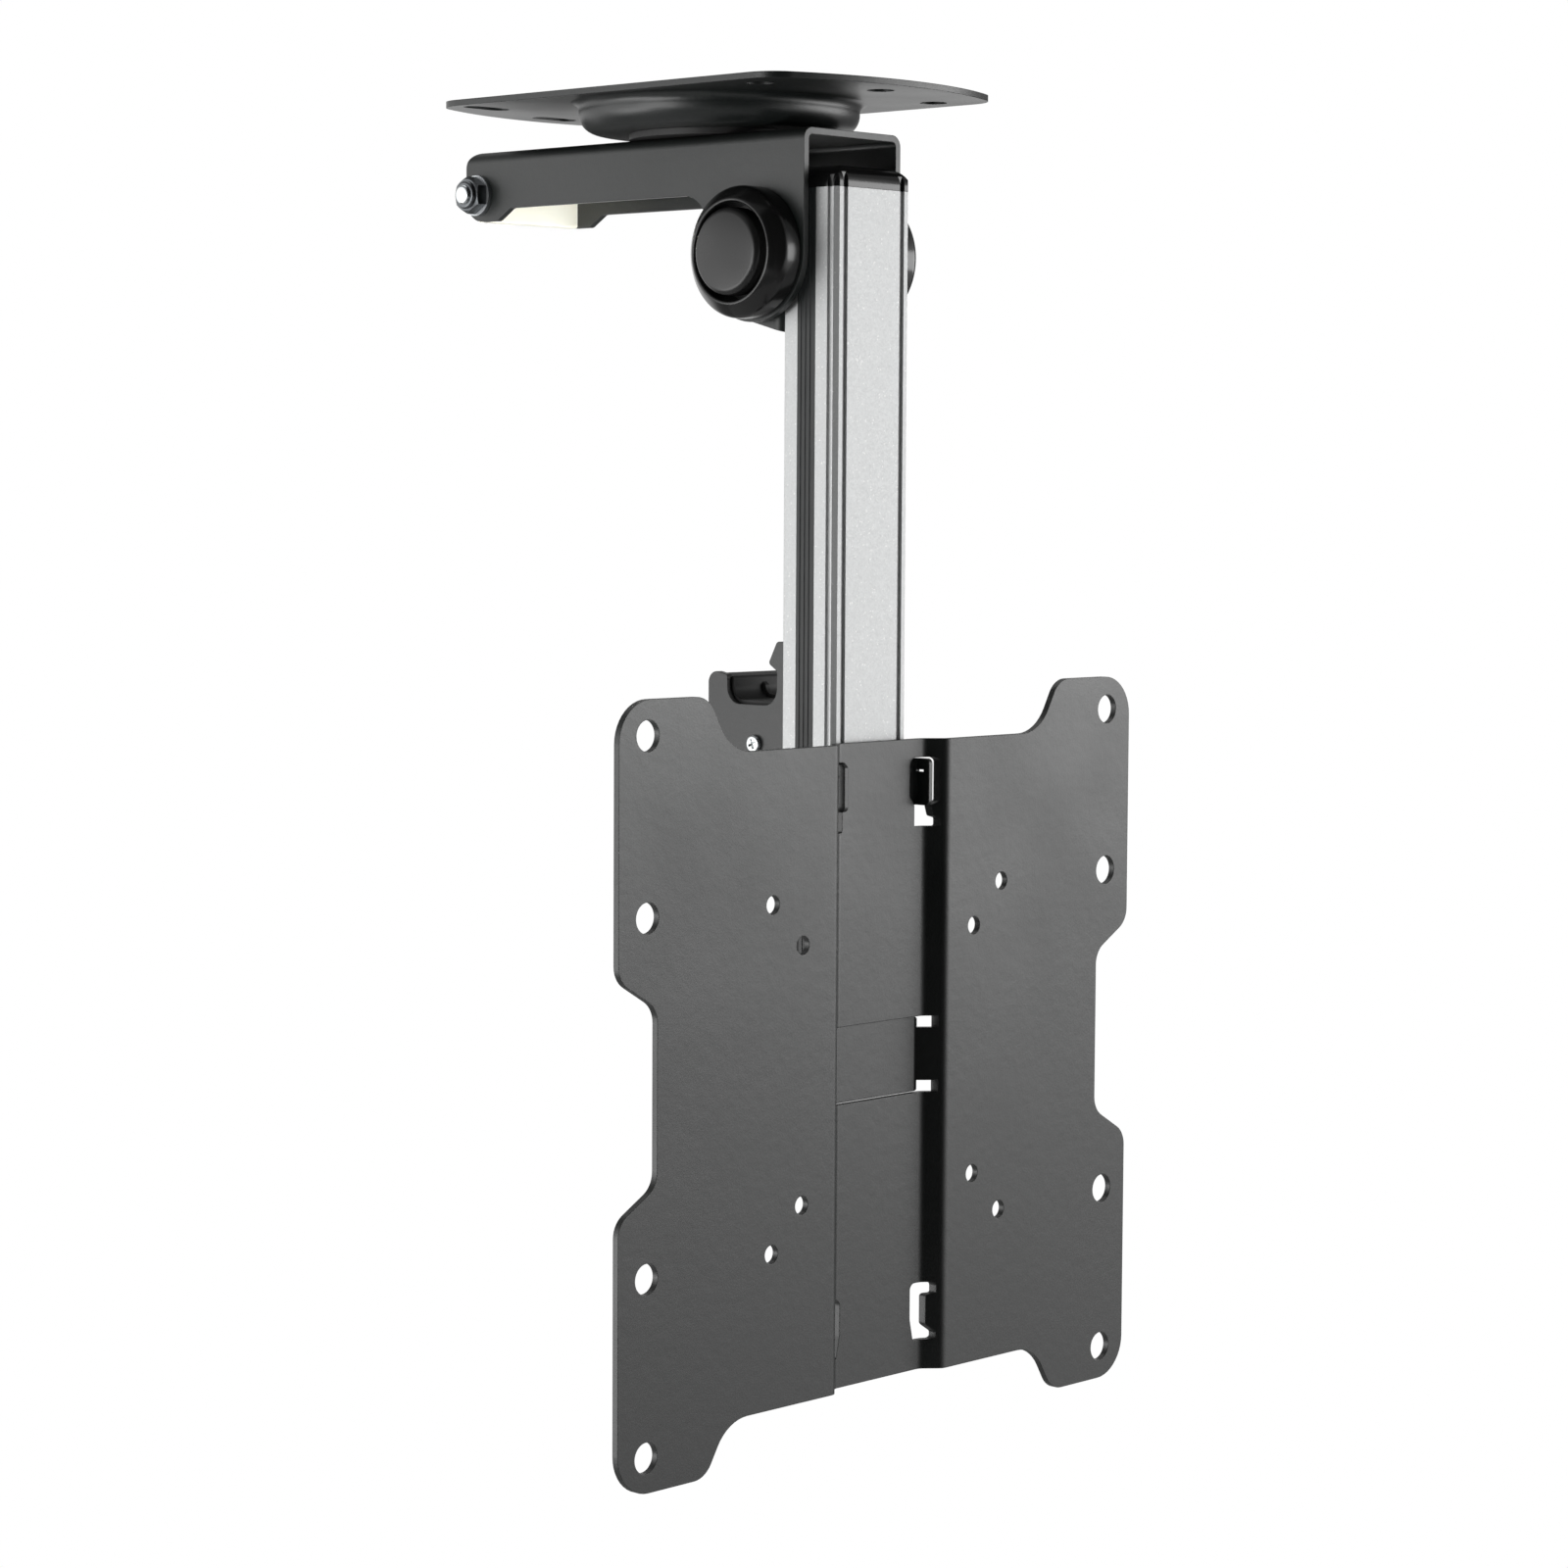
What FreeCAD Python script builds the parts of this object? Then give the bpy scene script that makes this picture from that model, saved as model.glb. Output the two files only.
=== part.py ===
# A flip-down ceiling mount for a small flat screen.
# A pressed ceiling plate carries a swivelling channel arm. An aluminium pole hangs from a
# hinge at the front of the arm and carries the screen plate. The pole folds up and back.
# Frame: millimetres, +Z up. The origin is on the swivel axis, in the top face of the ceiling
# plate. The screen faces -Y and the arm reaches back to +Y.
import FreeCAD, Part
import math
import os

V = FreeCAD.Vector

# Ceiling plate, pressed from sheet
plate_width = 97.5          # across, X
plate_side_length = 136.7   # straight length of each side, Y
plate_end_bow = 12.2        # how far the front and back edges bulge
plate_middle_y = 2.35       # middle of the plate behind the swivel axis
plate_corner_r = 11.0
plate_t = 1.8
dish_d = 84.4               # outside of the dish's upright wall
dish_depth = 9.0
dish_rim_r = 2.5            # under the plate, where the wall starts
dish_floor_r = 5.8          # outside, where the wall turns into the floor
fixing_hole_x = 37.5
front_hole_d = 8.0
front_hole_inset = 13.5     # behind the front end of the straight sides
front_middle_inset = 13.3   # behind the front tip
back_slot_length = 16.5
back_slot_width = 6.5
back_slot_inset = 8.5       # ahead of the back end of the straight sides
back_middle_inset = 11.0    # ahead of the back tip

# Swivel joint
swivel_bolt_d = 10.0
swivel_head_d = 26.0
swivel_head_t = 4.0
swivel_head_edge = 1.5
swivel_fit = 0.06           # radial running clearance of the arm on the bolt
swivel_disc_d = 54.0
swivel_disc_t = 2.0
swivel_washer_d = 32.0
swivel_washer_t = 2.5
swivel_spring_d = 28.0
swivel_spring_t = 1.6
swivel_spring_edge = 1.0
swivel_spring_cone = 0.6    # how far its bore stands off the washer
swivel_nut_af = 17.0
swivel_nut_t = 9.0
swivel_bolt_end = 1.0       # thread past the nut, turned to a point

# Channel arm, folded from sheet
arm_width = 41.6
arm_t = 2.0
arm_bend_r = 1.5            # inside radius of its two folds
arm_front = 54.25           # from the swivel axis to the front edge
arm_back = 89.8             # from the swivel axis to the free end
arm_flange_depth = 17.7     # top face to the lower edge of the flanges
arm_end_r = 5.0
latch_lobe_depth = 21.5     # top face to the lowest point at the latch bolt
latch_lobe_length = 14.1
latch_lobe_slant = 6.2
latch_lobe_r = 7.4
latch_lobe_step_r = 2.5

# Hinge
hinge_back_of_pole = 8.0    # axis behind the back face of the pole
hinge_below_arm_top = 35.4
hinge_lobe_r = 20.0
hinge_lobe_fillet = 9.7     # between the lobe and the lower edge of the flange
hinge_lobe_arc = 0.995      # share of the lobe's radius that rounds its corners
hinge_bolt_d = 8.0
hinge_fit = 0.06
hinge_washer_d = 15.6
hinge_spacer_d = 9.8
hinge_head_af = 13.0
hinge_head_t = 5.3
hinge_nut_t = 8.0
hinge_end = 1.5             # thread past the nut
cover_d = 38.4
cover_rim_d = 31.2
cover_height = 9.8
cover_shoulder_drop = 3.6   # from the rim to the corner that is rounded to the shoulder
cover_shoulder_r = 10.0
cover_edge = 1.2            # width of the rim
cover_edge_r = 0.5
cover_nut_room = 4.1        # the cover over the nut is this much taller
cap_gap = 1.7               # ring gap between cover and cap
cap_wall = 1.8
cap_above_rim = 3.2
cap_edge_r = 2.0
cap_dome = 1.2              # height of the whole dome
cap_crown = 0.2             # height of its flatter middle
cap_crown_share = 0.6       # that middle's share of the cap's radius
cap_crown_r = 40.0

# Latch bolt and pad at the free end of the arm
latch_bolt_d = 6.0
latch_bolt_from_back = 5.5
latch_bolt_below_top = 13.4
latch_washer_d = 12.5
latch_washer_t = 1.4
latch_nut_af = 10.0
latch_nut_t = 4.8
latch_head_t = 4.0
latch_bolt_end = 1.0
latch_bolt_tip_r = 0.8
latch_collar_d = 8.6        # round collar at the end of the lock nut
latch_collar_t = 1.1
latch_collar_r = 0.8
latch_pad_length = 6.45     # along Y
latch_pad_back = 0.2        # pad reaches this far behind the bolt's shank
latch_pad_top_gap = 0.6
latch_pad_front_r = 0.8
latch_pad_back_r = 2.2

# Pole, an aluminium extrusion
pole_width = 32.0
pole_depth = 20.5
pole_wall = 2.2
pole_chamfer = 1.25
pole_bore_r = 0.8
pole_back_r = 0.6
pole_top_below_arm_top = 17.1
pole_bottom_above_screen = 18.0
front_groove_x = 12.2
front_groove_width = 1.9
front_groove_depth = 0.9
side_groove_from_front = 1.7
side_groove_width = 1.9
side_groove_depth = 0.9
trim_from_front = 8.1
trim_width = 7.1
trim_t = 1.5
trim_rib_count = 3
trim_rib_depth = 0.2
trim_rib_width = 0.8
pole_cap_height = 6.5
pole_cap_side_r = 6.2
pole_cap_face_r = 5.0       # towards the front and the back
pole_foot_height = 2.5
pole_foot_edge_r = 0.4
pole_plug_length = 8.0
pole_plug_gap = 0.2

# Hinge bracket on the back of the pole
bracket_t = 2.5
bracket_bend_r = 0.5
bracket_ear_gap = 2.1       # from each ear to the arm's flange, filled by a friction washer
bracket_above_axis = 13.0
bracket_behind_axis = 12.5
bracket_heel_depth = 23.0   # axis to the foot of the bracket at the pole
bracket_slope = 5.5
bracket_top_r = 11.5
bracket_heel_r = 9.0
bracket_screw_x = 8.0
bracket_screw_drop = 10.5
bracket_screw_pitch = 8.5

# Latch bracket and its moulded cradle, lower on the back of the pole
hook_t = 2.0
hook_width = 31.0
hook_reach = 30.6           # pole face to the outer edge
hook_mouth_above_screen = 114.0
hook_mouth_r = 0.5
hook_nose_rise = 2.2        # the nose is this far above the mouth
hook_nose_reach = 6.0
hook_nose_r = 1.0
hook_top_rise = 8.7         # the top edge at the pole is this far above the mouth
hook_top_r = 1.5
prong_drop = 0.1            # tip of the prong below the mouth
prong_width = 7.8
prong_slant = 1.6
prong_outer_r = 3.4
prong_inner_r = 1.2
notch_start = 2.6           # pole face to the notch
notch_depth = 10.2          # mouth to the floor of the notch
notch_corner_r = 5.0
hook_heel_drop = 12.0       # heel of the side below the floor of the notch
hook_heel_r = 8.0
hook_foot_drop = 33.8       # foot of the bracket below the floor of the notch
hook_foot_reach = 15.0
hook_foot_r = 4.0
cradle_inset = 0.6          # cradle inside the edge of the bracket's sides
cradle_wall = 1.2
cradle_depth = 15.0         # floor of the notch to the cradle's foot
cradle_foot_reach = 8.0     # foot to outer face
cradle_foot_rise = 10.0
cradle_foot_r = 3.0
cradle_heel_r = 5.0
cradle_tip_r = 3.0
cradle_lip_r = 1.0
cradle_back_drop = 2.0      # edge at the pole below the tip
cradle_rib_t = 1.6
cradle_rib_height = 1.0
cradle_rib_root = 0.5       # how deep the rib is sunk into the cradle
cradle_rib_drop = 3.0       # end of the rib below the cradle's tip
cradle_rib_lead = 1.5
cradle_rib_r = 3.0
cradle_screw_d = 3.0
cradle_screw_head_d = 5.4
cradle_screw_head_t = 1.8
cradle_screw_length = 9.0
cradle_screw_reach = 11.3
cradle_screw_drop = 11.6    # below the floor of the notch
hook_screw_drop = 23.8      # below the floor of the notch
hook_screw_x = 7.0

# Hanger plate on the front of the pole
hanger_t = 1.5
hanger_flat_width = 30.0
hanger_bend_r = 1.8         # inside radius where the ears turn forward
hanger_corner_r = 3.0
hanger_above_screen = 92.0
hanger_foot_above_screen = 15.0
hanger_width = 38.4         # outside of the ears
hanger_ear_reach = 6.0      # in front of the back of the web
hanger_ear_top = 88.2
hanger_ear_foot = 74.4
hanger_ear_r = 1.5
hanger_slit_drop = 3.6      # middle of the slit below the top of the ear
hanger_slit_height = 0.7
hanger_slit_length = 2.8
hanger_slit_from_tip = 2.2
hanger_screw_above_screen = 58.0
hanger_screw_pitch = 24.0
screw_d = 4.8
screw_head_d = 9.0
screw_head_t = 2.4
screw_length = 7.0
screw_sink_edge = 0.2       # plain edge under a countersunk head

# Screen plate, folded from sheet
screen_drop = 284.0         # from the ceiling to the middle of the hole pattern
screen_forward = 70.25      # from the swivel axis to the middle of the wings
screen_t = 2.0
vesa_large = 100.0          # half of the large square pattern
vesa_half = 50.0
vesa_small = 37.5
large_hole_d = 8.8
small_hole_d = 5.4
side_margin = 11.0          # outermost holes to the sides
lobe_margin = 10.0          # outermost holes to the ends of the lobes
lobe_corner_r = 12.0
lobe_inner_x = 76.5
lobe_inner_r = 8.0
web_top = 94.0
web_foot = 95.0
web_top_x = 67.5
web_top_r = 14.0
waist_x = 96.0
waist_low = 24.7
waist_high = 33.4
waist_r = 7.0
hat_middle_x = 1.05         # the folds lie this far right of the middle of the hole pattern
fold_half_width = 23.95     # from their middle to where the wings fold into the slanted walls
web_half_width = 18.7
web_offset = 5.0            # web behind the wings
fold_r = 1.5
web_fold_r = 3.5
window_half_height = 11.4
strap_half_height = 11.2
strap_neck_half_height = 7.9
strap_face_half_width = 17.7
strap_fold_r = 1.0
strap_offset = 1.5          # strap behind the web
strap_r = 0.8
slot_outer_x = 22.35        # the slots and the window end here, from the middle of the folds
# Corners of the slots beside the right fold, as x, height and radius. A hanger ear enters the
# wide top of the upper one. The lower one runs round a short tongue. Corners beyond the web
# are measured from the middle of the folds.
upper_slot = [(13.7, 88.5, 2.5), (slot_outer_x, 88.5, 1.5), (slot_outer_x, 75.5, 1.0),
              (20.35, 74.2, 0.8), (20.95, 71.0, 0.6), (slot_outer_x, 70.4, 0.5),
              (slot_outer_x, 68.0, 0.5), (15.8, 68.0, 0.5), (15.8, 74.5, 1.5), (13.7, 77.0, 1.5)]
lower_slot = [(15.5, -68.8, 2.0), (slot_outer_x, -68.8, 1.2), (slot_outer_x, -72.2, 0.6),
              (20.05, -72.6, 1.0), (20.05, -81.6, 1.5), (slot_outer_x, -83.9, 0.8),
              (slot_outer_x, -86.0, 1.0), (17.0, -86.4, 0.6), (15.5, -79.5, 5.0)]

# Proportions of bolt heads, nuts and screws
hex_face = 0.97             # end face of a hexagon against its width across flats
hex_turn = 30               # degrees, its corners are turned off at this angle
pan_crown = 0.75            # flat top of a pan head against its radius
pan_edge = 0.3              # upright edge of a pan head against its height
pan_round = 0.35            # rounding of the crown against the head's height
point_length = 0.6          # point of a screw against its radius
point_width = 0.4

# Positions that follow from the sizes
arm_top = -(dish_depth + plate_t + swivel_disc_t)
arm_under = arm_top - arm_t
flange_out = arm_width / 2
flange_in = flange_out - arm_t
screen_z = -screen_drop
screen_half_width = vesa_large + side_margin
lobe_top = vesa_large + lobe_margin
wing_front = -screen_forward - screen_t / 2
web_front = wing_front + web_offset
web_back = web_front + screen_t
pole_front = web_back + hanger_t
pole_back = pole_front + pole_depth
hinge_y = pole_back + hinge_back_of_pole
hinge_z = arm_top - hinge_below_arm_top
pole_top = arm_top - pole_top_below_arm_top
pole_bottom = screen_z + pole_bottom_above_screen
latch_y = arm_back - latch_bolt_from_back
latch_z = arm_top - latch_bolt_below_top
ear_out = flange_in - bracket_ear_gap
mouth_z = screen_z + hook_mouth_above_screen
prong_z = mouth_z - prong_drop
notch_z = mouth_z - notch_depth


def on_plane(plane, a, b, at):
    """Point of a sketch plane: xy at a height, xz at a depth, yz at a side."""
    if plane == "xy":
        return V(a, b, at)
    if plane == "xz":
        return V(a, at, b)
    return V(at, a, b)


def rounded_wire(points, plane, at):
    """Closed wire through (a, b, radius) corners, each rounded by a tangent arc."""
    count = len(points)
    stretches = []
    for i in range(count):
        a, b, r = points[i]
        pa, pb = points[i - 1][:2]
        na, nb = points[(i + 1) % count][:2]
        before = V(pa - a, pb - b, 0).normalize()
        after = V(na - a, nb - b, 0).normalize()
        corner = V(a, b, 0)
        angle = before.getAngle(after)
        if r <= 0 or abs(angle - math.pi) < 1e-6:
            stretches.append((corner, None, corner))
            continue
        reach = r / math.tan(angle / 2)
        middle = corner + (before + after).normalize() * (r / math.sin(angle / 2) - r)
        stretches.append((corner + before * reach, middle, corner + after * reach))

    def spot(p):
        return on_plane(plane, p.x, p.y, at)

    edges = []
    for i, (start, middle, end) in enumerate(stretches):
        if middle is not None:
            edges.append(Part.Arc(spot(start), spot(middle), spot(end)).toShape())
        following = stretches[(i + 1) % count][0]
        if (following - end).Length > 1e-6:
            edges.append(Part.LineSegment(spot(end), spot(following)).toShape())
    return Part.Wire(edges)


def slab(points, plane, start, end):
    """Solid between two depths of a sketch plane, with the rounded outline as its section."""
    face = Part.Face(rounded_wire(points, plane, start))
    return face.extrude(on_plane(plane, 0, 0, end) - on_plane(plane, 0, 0, start))


def mirrored(points):
    """The outline on the other side of the centre plane."""
    return [(-a, b, r) for a, b, r in reversed(points)]


def box(x0, x1, y0, y1, z0, z1):
    return Part.makeBox(x1 - x0, y1 - y0, z1 - z0, V(x0, y0, z0))


def rod(d, start, end):
    """Round bar between two points."""
    along = end - start
    return Part.makeCylinder(d / 2, along.Length, start, along)


def sheet_section(path, thickness, side):
    """Outline of a bent strip. The path is (a, b, inside radius) along one skin of the sheet,
    and side 1 or -1 says on which side of it the thickness lies."""
    def shifted(distance):
        out = []
        last = len(path) - 1
        for i, (a, b, r) in enumerate(path):
            before = after = None
            if i > 0:
                before = V(a - path[i - 1][0], b - path[i - 1][1], 0).normalize()
            if i < last:
                after = V(path[i + 1][0] - a, path[i + 1][1] - b, 0).normalize()
            before = before or after
            after = after or before
            normal = V(-before.y - after.y, before.x + after.x, 0).normalize()
            stretch = distance / normal.dot(V(-before.y, before.x, 0))
            turn = before.x * after.y - before.y * after.x
            inside = turn * side > 0
            grow = r + thickness if (distance == 0) == inside else r
            out.append((a + normal.x * stretch, b + normal.y * stretch,
                        grow if 0 < i < last else 0))
        return out

    return shifted(0) + list(reversed(shifted(side * thickness)))


def turned(profile, start, along):
    """Solid turned about an axis from (radius, distance, fillet) corners."""
    face = Part.Face(rounded_wire(profile, "xz", 0))
    body = face.revolve(V(0, 0, 0), V(0, 0, 1), 360)
    body.Placement = FreeCAD.Placement(start, FreeCAD.Rotation(V(0, 0, 1), along))
    return body


def ring(outer_d, inner_d, start, end):
    """Flat washer or tube."""
    return rod(outer_d, start, end).cut(rod(inner_d, start, end))


def hexagon(across_flats, start, end):
    """Six-sided bar with its outer corners turned off at the far end."""
    along = end - start
    height = along.Length
    radius = across_flats / math.sqrt(3)
    corners = [V(radius * math.cos(math.pi / 3 * i), radius * math.sin(math.pi / 3 * i), 0)
               for i in range(7)]
    bar = Part.Face(Part.makePolygon(corners)).extrude(V(0, 0, height))
    face_r = across_flats / 2 * hex_face
    clear = radius + 1
    limit = turned([(0, 0, 0), (clear, 0, 0),
                    (clear, height - (clear - face_r) * math.tan(math.radians(hex_turn)), 0),
                    (face_r, height, 0), (0, height, 0)], V(0, 0, 0), V(0, 0, 1))
    bar = bar.common(limit)
    bar.Placement = FreeCAD.Placement(start, FreeCAD.Rotation(V(0, 0, 1), along))
    return bar


def pan_screw(d, head_d, head_t, length, seat, inward):
    """Pan-head screw. Its head sits at seat and its shank runs along inward."""
    r, head_r = d / 2, head_d / 2
    return turned([(0, -head_t, 0), (head_r * pan_crown, -head_t, head_t * pan_round),
                   (head_r, -head_t * pan_edge, 0), (head_r, 0, 0), (r, 0, 0),
                   (r, length - r * point_length, 0), (r * point_width, length, 0),
                   (0, length, 0)], seat, inward)


def ceiling_plate():
    """Flat plate with bowed ends and a round, upright-walled dish pressed down in the middle."""
    hw, hl = plate_width / 2, plate_side_length / 2
    front, back = plate_middle_y - hl, plate_middle_y + hl
    blank = box(-hw, hw, front, back, -plate_t, 0)
    end_r = (hw * hw + plate_end_bow * plate_end_bow) / (2 * plate_end_bow)
    for edge, side in ((front, -1), (back, 1)):
        tip = edge + side * plate_end_bow
        centre = tip - side * end_r
        disc = rod(2 * end_r, V(0, centre, -plate_t), V(0, centre, 0))
        blank = blank.fuse(disc.common(box(-hw, hw, min(edge, tip), max(edge, tip), -plate_t, 0)))
    blank = blank.removeSplitter()
    corners = [e for e in blank.Edges if e.BoundBox.ZLength > plate_t * 0.9
               and abs(abs(e.BoundBox.Center.x) - hw) < 0.01]
    plate = blank.makeFillet(plate_corner_r, corners)
    wall = dish_d / 2
    edge = wall + dish_rim_r
    bolt_r = swivel_bolt_d / 2
    plate = plate.cut(rod(2 * edge, V(0, 0, -plate_t), V(0, 0, 0)))
    dish = turned([
        (edge, 0, 0), (wall - plate_t, 0, dish_rim_r + plate_t),
        (wall - plate_t, -dish_depth, dish_floor_r - plate_t), (bolt_r, -dish_depth, 0),
        (bolt_r, -dish_depth - plate_t, 0), (wall, -dish_depth - plate_t, dish_floor_r),
        (wall, -plate_t, dish_rim_r), (edge, -plate_t, 0)], V(0, 0, 0), V(0, 0, 1))
    plate = plate.fuse(dish).removeSplitter()
    for x in (-fixing_hole_x, 0, fixing_hole_x):
        y = front + front_hole_inset if x else front - plate_end_bow + front_middle_inset
        plate = plate.cut(rod(front_hole_d, V(x, y, -plate_t), V(x, y, 0)))
        y = back - back_slot_inset if x else back + plate_end_bow - back_middle_inset
        plate = plate.cut(fixing_slot(x, y))
    return plate


def fixing_slot(x, y):
    """Round-ended slot across the ceiling plate."""
    reach = (back_slot_length - back_slot_width) / 2
    slot = box(x - reach, x + reach, y - back_slot_width / 2, y + back_slot_width / 2, -plate_t, 0)
    for end in (x - reach, x + reach):
        slot = slot.fuse(rod(back_slot_width, V(end, y, -plate_t), V(end, y, 0)))
    return slot


def swivel_parts():
    """Bolt, slip disc under the dish, and the washers and nut that clamp the arm."""
    seat = -dish_depth
    head_top = seat + swivel_head_t
    washer_bottom = arm_under - swivel_washer_t
    spring_bottom = washer_bottom - swivel_spring_t
    nut_bottom = spring_bottom - swivel_nut_t
    tip = nut_bottom - swivel_bolt_end
    r, head_r, spring_r = swivel_bolt_d / 2, swivel_head_d / 2, swivel_spring_d / 2
    bolt = turned([(0, head_top, 0), (head_r, head_top, swivel_head_edge), (head_r, seat, 0),
                   (r, seat, 0), (r, nut_bottom, 0), (r - swivel_bolt_end, tip, 0), (0, tip, 0)],
                  V(0, 0, 0), V(0, 0, 1))
    spring = turned([(r, washer_bottom - swivel_spring_cone, 0), (spring_r, washer_bottom, 0),
                     (spring_r, washer_bottom - swivel_spring_edge, 0), (r, spring_bottom, 0)],
                    V(0, 0, 0), V(0, 0, 1))
    nut = hexagon(swivel_nut_af, V(0, 0, spring_bottom), V(0, 0, nut_bottom))
    return {
        "swivel_bolt": bolt,
        "swivel_slip_disc": ring(swivel_disc_d, swivel_bolt_d,
                                 V(0, 0, arm_top + swivel_disc_t), V(0, 0, arm_top)),
        "swivel_washer": ring(swivel_washer_d, swivel_bolt_d,
                              V(0, 0, arm_under), V(0, 0, washer_bottom)),
        "swivel_spring_washer": spring,
        "swivel_nut": nut.cut(rod(swivel_bolt_d, V(0, 0, spring_bottom), V(0, 0, nut_bottom))),
    }


def arm_channel():
    """Folded channel, open below. Its flanges widen to round lobes at the hinge and droop
    again at the latch bolt. A fillet runs from each lobe, where it is touched, to the flange."""
    edge = arm_top - arm_flange_depth
    latch_low = arm_top - latch_lobe_depth
    latch_front = arm_back - latch_lobe_length
    r, drop = hinge_lobe_r, edge - hinge_z
    apart = r + hinge_lobe_fillet
    tangent_z = (drop - hinge_lobe_fillet) / apart
    tangent_y = math.sqrt(1 - tangent_z * tangent_z)
    touch = hinge_y + r * tangent_y
    fillet_y = touch - tangent_z * (drop - r * tangent_z) / tangent_y
    heel_y = touch + tangent_z * (r + r * tangent_z) / tangent_y
    hinge_low = hinge_z - r
    corner = r * hinge_lobe_arc
    side = [(-arm_front, arm_top, 0), (arm_back, arm_top, arm_end_r),
            (arm_back, latch_low, latch_lobe_r), (latch_front, latch_low, latch_lobe_step_r),
            (latch_front - latch_lobe_slant, edge, latch_lobe_step_r),
            (fillet_y, edge, hinge_lobe_fillet), (heel_y, hinge_low, corner),
            (-arm_front, hinge_low, corner)]
    skin = [(-flange_out, hinge_low, 0), (-flange_out, arm_top, arm_bend_r),
            (flange_out, arm_top, arm_bend_r), (flange_out, hinge_low, 0)]
    channel = slab(sheet_section(skin, arm_t, -1), "xz", -arm_front, arm_back)
    channel = channel.common(slab(side, "yz", -flange_out, flange_out))
    channel = channel.cut(rod(swivel_bolt_d + 2 * swivel_fit, V(0, 0, arm_under), V(0, 0, arm_top)))
    for y, z, d in ((hinge_y, hinge_z, hinge_bolt_d), (latch_y, latch_z, latch_bolt_d)):
        channel = channel.cut(rod(d, V(-flange_out, y, z), V(flange_out, y, z)))
    return channel


def latch_parts():
    """Cross bolt at the free end, its nut and washers, and the nylon pad between the flanges."""
    def at(x):
        return V(x, latch_y, latch_z)

    left_face = -flange_out - latch_washer_t
    right_face = flange_out + latch_washer_t
    collar_face = left_face - latch_nut_t + latch_collar_t
    nut_face = left_face - latch_nut_t
    length = right_face - nut_face + latch_bolt_end
    r, collar_r = latch_bolt_d / 2, latch_collar_d / 2
    head = hexagon(latch_nut_af, at(right_face), at(right_face + latch_head_t))
    shank = turned([(0, 0, 0), (r, 0, 0), (r, length, latch_bolt_tip_r), (0, length, 0)],
                   at(right_face), V(-1, 0, 0))
    collar = turned([(0, 0, 0), (collar_r, 0, 0), (collar_r, latch_collar_t, latch_collar_r),
                     (0, latch_collar_t, 0)], at(collar_face), V(-1, 0, 0))
    nut = hexagon(latch_nut_af, at(left_face), at(collar_face)).fuse(collar).removeSplitter()
    back = latch_y + r + latch_pad_back
    front = back - latch_pad_length
    low = arm_top - latch_lobe_depth
    high = arm_under - arm_bend_r - latch_pad_top_gap
    pad = slab([(front, low, latch_pad_front_r), (back, low, latch_pad_back_r),
                (back, high, latch_pad_back_r), (front, high, latch_pad_front_r)],
               "yz", -flange_in, flange_in)
    return {
        "latch_bolt": head.fuse(shank).removeSplitter(),
        "latch_nut": nut.cut(rod(latch_bolt_d, at(left_face), at(nut_face))),
        "latch_washer_left": ring(latch_washer_d, latch_bolt_d, at(-flange_out), at(left_face)),
        "latch_washer_right": ring(latch_washer_d, latch_bolt_d, at(flange_out), at(right_face)),
        "latch_pad": pad.cut(rod(latch_bolt_d, at(-flange_in), at(flange_in))),
    }


def hinge_parts():
    """Cross bolt of the hinge, headed on the left, with its nut, friction washers, round covers
    and snap-in caps. The cover and cap over the nut are taller."""
    def at(x):
        return V(x, hinge_y, hinge_z)

    tip = flange_out + hinge_nut_t + hinge_end
    head = hexagon(hinge_head_af, at(-flange_out), at(-flange_out - hinge_head_t))
    nut = hexagon(hinge_head_af, at(flange_out), at(flange_out + hinge_nut_t))
    parts = {"hinge_bolt": head.fuse(rod(hinge_bolt_d, at(-flange_out), at(tip))).removeSplitter(),
             "hinge_nut": nut.cut(rod(hinge_bolt_d, at(flange_out), at(tip)))}
    for name, side, height in (("left", -1, cover_height),
                               ("right", 1, cover_height + cover_nut_room)):
        parts["hinge_washer_" + name] = ring(hinge_washer_d, hinge_bolt_d,
                                             at(side * ear_out), at(side * flange_in))
        seat, out = at(side * flange_out), V(side, 0, 0)
        parts["hinge_cover_" + name] = hinge_cover(seat, out, height)
        parts["hinge_cap_" + name] = hinge_cap(seat, out, height)
    return parts


def hinge_cover(seat, out, height):
    """Moulded barrel whose broad round shoulder is drawn in to a narrow rim."""
    skirt, rim = cover_d / 2, cover_rim_d / 2
    inner = rim - cover_edge
    return turned([(inner, 0, 0), (skirt, 0, cover_edge_r),
                   (skirt, height - cover_shoulder_drop, cover_shoulder_r),
                   (rim, height, cover_edge_r), (inner, height, 0)], seat, out)


def hinge_cap(seat, out, height):
    """Domed cap over the bolt end. It stands on the arm inside the cover, a ring gap away."""
    r = cover_rim_d / 2 - cover_edge - cap_gap
    top = height + cap_above_rim
    bore = r - cap_wall
    return turned([(bore, 0, 0), (r, 0, 0), (r, top - cap_dome, cap_edge_r),
                   (r * cap_crown_share, top - cap_crown, cap_crown_r), (0, top, 0),
                   (0, top - cap_wall, 0), (bore, top - cap_wall - cap_dome, 0)], seat, out)


def pole_outline():
    """Section of the pole with its chamfered front corners."""
    hw, c = pole_width / 2, pole_chamfer
    return [(-hw, pole_front + c, 0), (-hw + c, pole_front, 0), (hw - c, pole_front, 0),
            (hw, pole_front + c, 0), (hw, pole_back, pole_back_r), (-hw, pole_back, pole_back_r)]


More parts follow.
